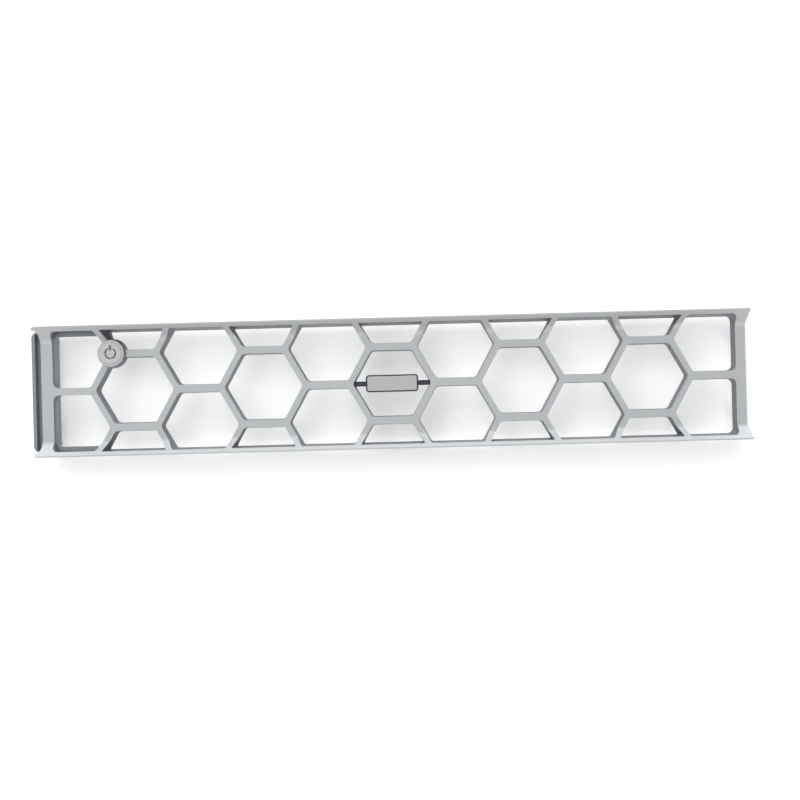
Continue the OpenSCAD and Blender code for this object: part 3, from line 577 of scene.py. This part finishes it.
def pinRingTree():
    # round-nosed pins spaced evenly on a circle about Z, the first half a space past Start
    tree, size, leave = startTree("pinRing", {
        "Ring Radius": 0.0034, "Pin Radius": 0.00043, "Length": 0.0034, "Nose": 0.3,
        "Count": 7, "Start": 90.0})

    def noseRadius(share, axes):
        left = mathNode(tree, "SUBTRACT", 1.0, share)
        near = mathNode(tree, "DIVIDE", left, size["Nose"], clamp=True)
        away = mathNode(tree, "SUBTRACT", 1.0, near)
        # a little over 1, so that the tip keeps a small flat
        arc = mathNode(tree, "SQRT", mathNode(
            tree, "SUBTRACT", 1.02, mathNode(tree, "MULTIPLY", away, away)))
        return mathNode(tree, "MULTIPLY", mathNode(tree, "MINIMUM", arc, 1.0), size["Pin Radius"])

    pin = lathe(tree, 20, 24, noseRadius, 0.0, size["Length"])
    points = geoNode(tree, "GeometryNodePoints", {"Count": size["Count"]})
    index = geoNode(tree, "GeometryNodeInputIndex").outputs[0]
    step = mathNode(tree, "DIVIDE", 360.0, size["Count"])
    halfOn = mathNode(tree, "ADD", index, 0.5)
    angle = mathNode(tree, "RADIANS", mathNode(tree, "MULTIPLY_ADD", halfOn, step, size["Start"]))
    ring = geoNode(tree, "GeometryNodeSetPosition", {
        "Geometry": points.outputs[0], "Position": onCircle(tree, angle, size["Ring Radius"])})
    pins = geoNode(tree, "GeometryNodeInstanceOnPoints", {
        "Points": ring.outputs[0], "Instance": pin})
    return endTree(tree, size, leave, pins.outputs[0])


trees = {"crossScrew": crossScrewTree(), "coilSpring": coilSpringTree(),
         "pinRing": pinRingTree()}
print("node trees built:", ", ".join(trees))


sharpFrom = 32  # edges of grown pieces that bend by more degrees than this stay sharp


def grown(name, treeName, node, turn, sizes):
    # one plain mesh from a tree, turned by turn and centred on the CAD node that it stands for
    piece = bpy.data.objects.new(name, bpy.data.meshes.new(name))
    bpy.context.scene.collection.objects.link(piece)
    tree = trees[treeName]
    build = piece.modifiers.new("build", "NODES")
    build.node_group = tree
    sockets = {item.name: item.identifier for item in tree.interface.items_tree
               if item.in_out == "INPUT"}
    for key, value in sizes.items():
        build[sockets[key]] = value
    build[sockets["Finish"]] = finishes[slotOf[node]]
    bpy.context.view_layer.update()
    evaluated = piece.evaluated_get(bpy.context.evaluated_depsgraph_get())
    mesh = bpy.data.meshes.new_from_object(evaluated)
    piece.modifiers.remove(build)
    mesh.transform(turn)
    low, high = (Vector(corner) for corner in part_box(node))
    spots = [[v.co[axis] for v in mesh.vertices] for axis in range(3)]
    middle = Vector([(min(line) + max(line)) / 2 for line in spots])
    mesh.transform(Matrix.Translation((low + high) / 2 - middle))
    piece.data = mesh
    shape = bmesh.new()
    shape.from_mesh(mesh)
    bmesh.ops.recalc_face_normals(shape, faces=shape.faces)
    for face in shape.faces:
        face.smooth = True
    for edge in shape.edges:
        bend = edge.calc_face_angle(0.0)
        edge.smooth = len(edge.link_faces) == 2 and bend < math.radians(sharpFrom)
    shape.to_mesh(mesh)
    shape.free()
    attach(piece, bodyOf[node])
    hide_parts(node)
    return piece


def span(node, axis):
    # how far a CAD node reaches along one axis
    low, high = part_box(node)
    return high[axis] - low[axis]


headsBack = Matrix.Rotation(math.radians(-90), 4, "X")  # +Z, the heads' side, turns to +Y
# the row runs up Z instead of along X
alongHeight = headsBack @ Matrix.Rotation(math.radians(90), 4, "Z")
screwLook = {"headRadius": 2.2, "headHeight": 1.5, "shankRadius": 1.22, "pitch": 0.8,
             "thread": 0.14, "recessRadius": 1.32, "recessDepth": 0.9, "sunkDepth": 1.1}


def screwRow(name, node, turn, axis, count=2, sunk=False):
    look = screwLook
    head = look["sunkDepth"] if sunk else look["headHeight"]
    between = span(node, axis) - 2 * look["headRadius"] * mm
    sizes = {"Head Radius": look["headRadius"] * mm, "Head Height": head * mm,
             "Head Sink": head * mm * sunk, "Shank Radius": look["shankRadius"] * mm,
             "Thread Pitch": look["pitch"] * mm, "Thread Depth": look["thread"] * mm,
             "Recess Radius": look["recessRadius"] * mm,
             "Recess Depth": look["recessDepth"] * mm, "Count": count,
             "Length": span(node, 1) - head * mm * (not sunk),
             "Spacing": between if count > 1 else 0.0}
    return grown(name, "crossScrew", node, turn, sizes)


screwRow("badgeScrews", "badge_screws", headsBack, 0)
screwRow("housingScrews", "housing_screws", alongHeight, 2)
screwRow("bracketScrews", "bracket_screws", alongHeight, 2)
screwRow("hookScrews", "latch_screws", alongHeight, 2, sunk=True)
screwRow("crankScrew", "cam_screw", headsBack, 0, count=1)

# keep is the share of its length that a spring has left when the lever is pressed
springLook = {"meanRadius": 2.2, "wireRadius": 0.3, "turns": 5.0, "deadTurns": 0.8, "keep": 0.63}
alongWidth = Matrix.Rotation(math.radians(90), 4, "Y")
for name, node in (("returnSpringUpper", "spring_upper"), ("returnSpringLower", "spring_lower")):
    spring = grown(name, "coilSpring", node, alongWidth, {
        "Mean Radius": springLook["meanRadius"] * mm, "Wire Radius": springLook["wireRadius"] * mm,
        "Turns": springLook["turns"], "Dead Turns": springLook["deadTurns"],
        "Length": span(node, 0)})
    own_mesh(spring)

pinLook = {"pinRadius": 0.43, "nose": 0.14, "count": 7, "start": 90.0}
nosesFront = Matrix.Rotation(math.radians(90), 4, "X")
grown("tubularPins", "pinRing", "lock_pins", nosesFront, {
    "Pin Radius": pinLook["pinRadius"] * mm, "Length": span("lock_pins", 1),
    "Nose": pinLook["nose"], "Count": pinLook["count"], "Start": pinLook["start"],
    "Ring Radius": span("lock_pins", 0) / 2 - pinLook["pinRadius"] * mm})
print("screws, springs and pins grown")


cameraView = {"place": (0.0244, -0.720, -0.00975), "aim": (0.0244, 0.0, -0.00975),
              "roll": 1.5, "lens": 48.5, "shift": (-0.0375, -0.0035)}


def placeCamera(view):
    data = bpy.data.cameras.new("studioCamera")
    data.lens = view["lens"]
    data.sensor_width = 36.0
    data.clip_start = 0.01
    data.shift_x, data.shift_y = view["shift"]
    camera = bpy.data.objects.new("studioCamera", data)
    bpy.context.scene.collection.objects.link(camera)
    forward = (Vector(view["aim"]) - Vector(view["place"])).normalized()
    tilt = math.radians(view["roll"])
    up = Vector((math.sin(tilt), 0.0, math.cos(tilt)))
    right = forward.cross(up).normalized()
    up = right.cross(forward)
    turn = Matrix((right, up, -forward)).transposed().to_4x4()
    camera.matrix_world = Matrix.Translation(view["place"]) @ turn
    bpy.context.scene.camera = camera


stageSizes = {"tableGap": 8.0, "half": 900.0, "glow": 0.14, "tone": (0.93, 0.93, 0.93, 1)}


def layTable(sizes):
    # the pale surface that the bezel's back lies towards; seen from its far side it is clear
    y = sizes["tableGap"] * mm
    half = sizes["half"] * mm
    mesh = bpy.data.meshes.new("paleTable")
    corners = [(-half, y, -half), (half, y, -half), (half, y, half), (-half, y, half)]
    mesh.from_pydata(corners, [], [(0, 1, 2, 3)])
    table = bpy.data.objects.new("paleTable", mesh)
    bpy.context.scene.collection.objects.link(table)
    material, tree, shader = startMaterial("paleTable", 0.9, 0.0)
    shader.inputs["Base Color"].default_value = sizes["tone"]
    shader.inputs["Specular IOR Level"].default_value = 0.0
    shader.inputs["Emission Color"].default_value = (1, 1, 1, 1)
    shader.inputs["Emission Strength"].default_value = sizes["glow"]
    clear = tree.nodes.new("ShaderNodeBsdfTransparent")
    choose = tree.nodes.new("ShaderNodeMixShader")
    side = tree.nodes.new("ShaderNodeNewGeometry")
    tree.links.new(side.outputs["Backfacing"], choose.inputs[0])
    tree.links.new(shader.outputs[0], choose.inputs[1])
    tree.links.new(clear.outputs[0], choose.inputs[2])
    tree.links.new(choose.outputs[0], tree.nodes["Material Output"].inputs["Surface"])
    mesh.materials.append(material)
    table.visible_shadow = False


def softbox(name, place, aim, size, power):
    data = bpy.data.lights.new(name, "AREA")
    data.shape = "RECTANGLE"
    data.size, data.size_y = size
    data.energy = power
    lamp = bpy.data.objects.new(name, data)
    bpy.context.scene.collection.objects.link(lamp)
    lamp.location = place
    lamp.rotation_euler = (Vector(aim) - Vector(place)).to_track_quat("-Z", "Y").to_euler()
    return lamp


# the surround from straight down, at 0, to straight up, at 1: brightest overhead, darker above
# the eye and bright again below it
roomLook = {
    "stops": [(0.0, 1.30, 1.28, 1.24), (0.14, 1.25, 1.23, 1.20), (0.28, 1.95, 1.95, 1.97),
              (0.43, 0.95, 0.96, 0.97), (0.5, 0.86, 0.87, 0.88), (0.58, 0.74, 0.755, 0.77),
              (0.72, 0.52, 0.53, 0.55), (0.87, 1.2, 1.22, 1.24), (1.0, 4.4, 4.42, 4.46)],
    "strength": 0.70, "keyPlace": (-0.30, -1.25, 0.52), "keySize": (1.2, 1.2), "keyPower": 12.6,
}


def lightRoom(look):
    world = bpy.data.worlds.new("softSurround")
    bpy.context.scene.world = world
    world.use_nodes = True
    tree = world.node_tree
    background = tree.nodes["Background"]
    axes = tree.nodes.new("ShaderNodeSeparateXYZ")
    around = tree.nodes.new("ShaderNodeTexCoord")
    tree.links.new(around.outputs["Generated"], axes.inputs[0])
    height = addNode(tree, "ShaderNodeMapRange", values={"From Min": -1.0, "From Max": 1.0})
    tree.links.new(axes.outputs["Z"], height.inputs["Value"])
    ramp = tree.nodes.new("ShaderNodeValToRGB")
    while len(ramp.color_ramp.elements) < len(look["stops"]):
        ramp.color_ramp.elements.new(0.5)
    for element, stop in zip(ramp.color_ramp.elements, look["stops"]):
        element.position = stop[0]
        element.color = (*stop[1:], 1.0)
    tree.links.new(height.outputs["Result"], ramp.inputs["Fac"])
    tree.links.new(ramp.outputs["Color"], background.inputs["Color"])
    background.inputs["Strength"].default_value = look["strength"]
    key = softbox("keyPanel", look["keyPlace"], (0, 0, 0), look["keySize"], look["keyPower"])
    key.visible_glossy = False  # it lights the paint evenly and isn't mirrored in the left end
    bpy.context.scene.view_settings.view_transform = "Standard"


placeCamera(cameraView)
layTable(stageSizes)
lightRoom(roomLook)
print("camera, table and lights placed")
